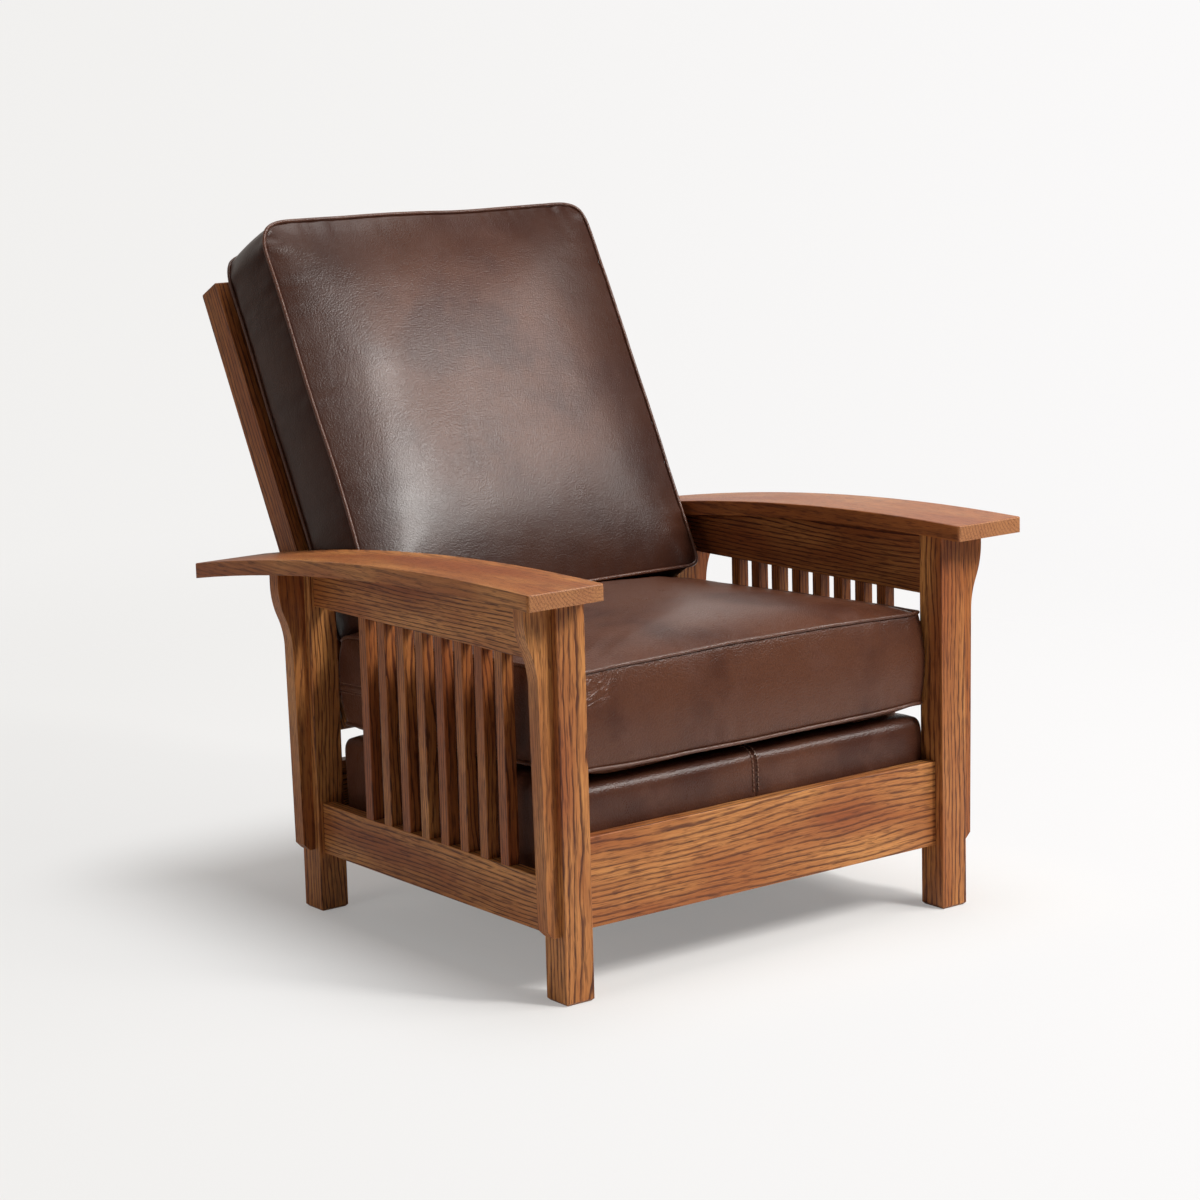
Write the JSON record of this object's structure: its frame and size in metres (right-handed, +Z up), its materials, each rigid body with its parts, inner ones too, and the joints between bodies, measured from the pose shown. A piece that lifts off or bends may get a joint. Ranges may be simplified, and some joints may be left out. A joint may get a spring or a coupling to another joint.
{
  "type": "reclining armchair",
  "caption": "Reclining armchair with bowed oak arms, spindled sides, loose leather seat and back cushions, and a hinged slatted back held by pegs.",
  "frame": {"origin": "on the floor, at the middle of the bounding box of the chair at rest, with the back fully reclined", "axes": "+X to the right seen from in front, +Y towards the back of the chair, +Z up"},
  "size_m": [0.9026, 1.041, 1.0334],
  "materials": {
    "oak": "fumed quarter sawn oak, dark open grain, satin varnish",
    "hidden_hardwood": "planed, unfinished",
    "leather": "dark brown pebbled upholstery leather, soft sheen",
    "padding": "foam and fibre wrap",
    "steel": "bright zinc plated"
  },
  "bodies": {
    "chair_frame": {"front_rail": "oak", "rear_rail": "oak", "deck_cleat_front": "hidden_hardwood", "deck_cleat_rear": "hidden_hardwood", "cleat_screws": "steel", "deck_rail_front": "hidden_hardwood", "deck_rail_rear": "hidden_hardwood", "deck_rail_left": "hidden_hardwood", "deck_rail_right": "hidden_hardwood", "deck_springs": "steel", "spring_clips": "steel", "deck_pad": "padding", "deck_cover": "leather", "pivot_pins": "steel", "pivot_spacers": "steel", "post_front_left": "oak", "post_rear_left": "oak", "side_rail_lower_left": "oak", "side_rail_upper_left": "oak", "arm_left": "oak", "corbel_front_left": "oak", "corbel_rear_left": "oak", "spindle_left_1": "oak", "spindle_left_2": "oak", "spindle_left_3": "oak", "spindle_left_4": "oak", "spindle_left_5": "oak", "spindle_left_6": "oak", "spindle_left_7": "oak", "spindle_left_8": "oak", "post_front_right": "oak", "post_rear_right": "oak", "side_rail_lower_right": "oak", "side_rail_upper_right": "oak", "arm_right": "oak", "corbel_front_right": "oak", "corbel_rear_right": "oak", "spindle_right_1": "oak", "spindle_right_2": "oak", "spindle_right_3": "oak", "spindle_right_4": "oak", "spindle_right_5": "oak", "spindle_right_6": "oak", "spindle_right_7": "oak", "spindle_right_8": "oak"},
    "back_frame": {"back_stile_left": "oak", "back_stile_right": "oak", "back_rail_bottom": "oak", "back_rail_top": "oak", "back_slat_1": "oak", "back_slat_2": "oak", "back_slat_3": "oak", "back_slat_4": "oak"},
    "back_cushion": {"back_cushion_cover": "leather", "back_cushion_core": "padding"},
    "seat_cushion": {"seat_cushion_cover": "leather", "seat_cushion_core": "padding"},
    "peg_left": {"support_peg_left": "oak"},
    "peg_right": {"support_peg_right": "oak"}
  },
  "joints": [
    {"name": "back_recline", "type": "hinge", "parent": "chair_frame", "child": "back_frame", "pos_m": [0, 0.17348, 0.2969], "axis": [1, 0, 0], "range_deg": [0, 15]},
    {"name": "back_cushion_slide", "type": "slide", "parent": "back_frame", "child": "back_cushion", "axis": [0, 0.4587, 0.8886], "range_m": [0, 0.041]},
    {"name": "seat_cushion_slide", "type": "slide", "parent": "chair_frame", "child": "seat_cushion", "axis": [0, -0.999, 0.0454], "range_m": [0, 0.65]},
    {"name": "peg_left_pull", "type": "slide", "parent": "chair_frame", "child": "peg_left", "axis": [1, 0, 0], "range_m": [0, 0.045]},
    {"name": "peg_right_pull", "type": "slide", "parent": "chair_frame", "child": "peg_right", "axis": [-1, 0, 0], "range_m": [0, 0.045]}
  ],
  "couplings": [
    {"joint": "back_cushion_slide", "follows": "back_recline", "m_per_rad": 0.155}
  ]
}
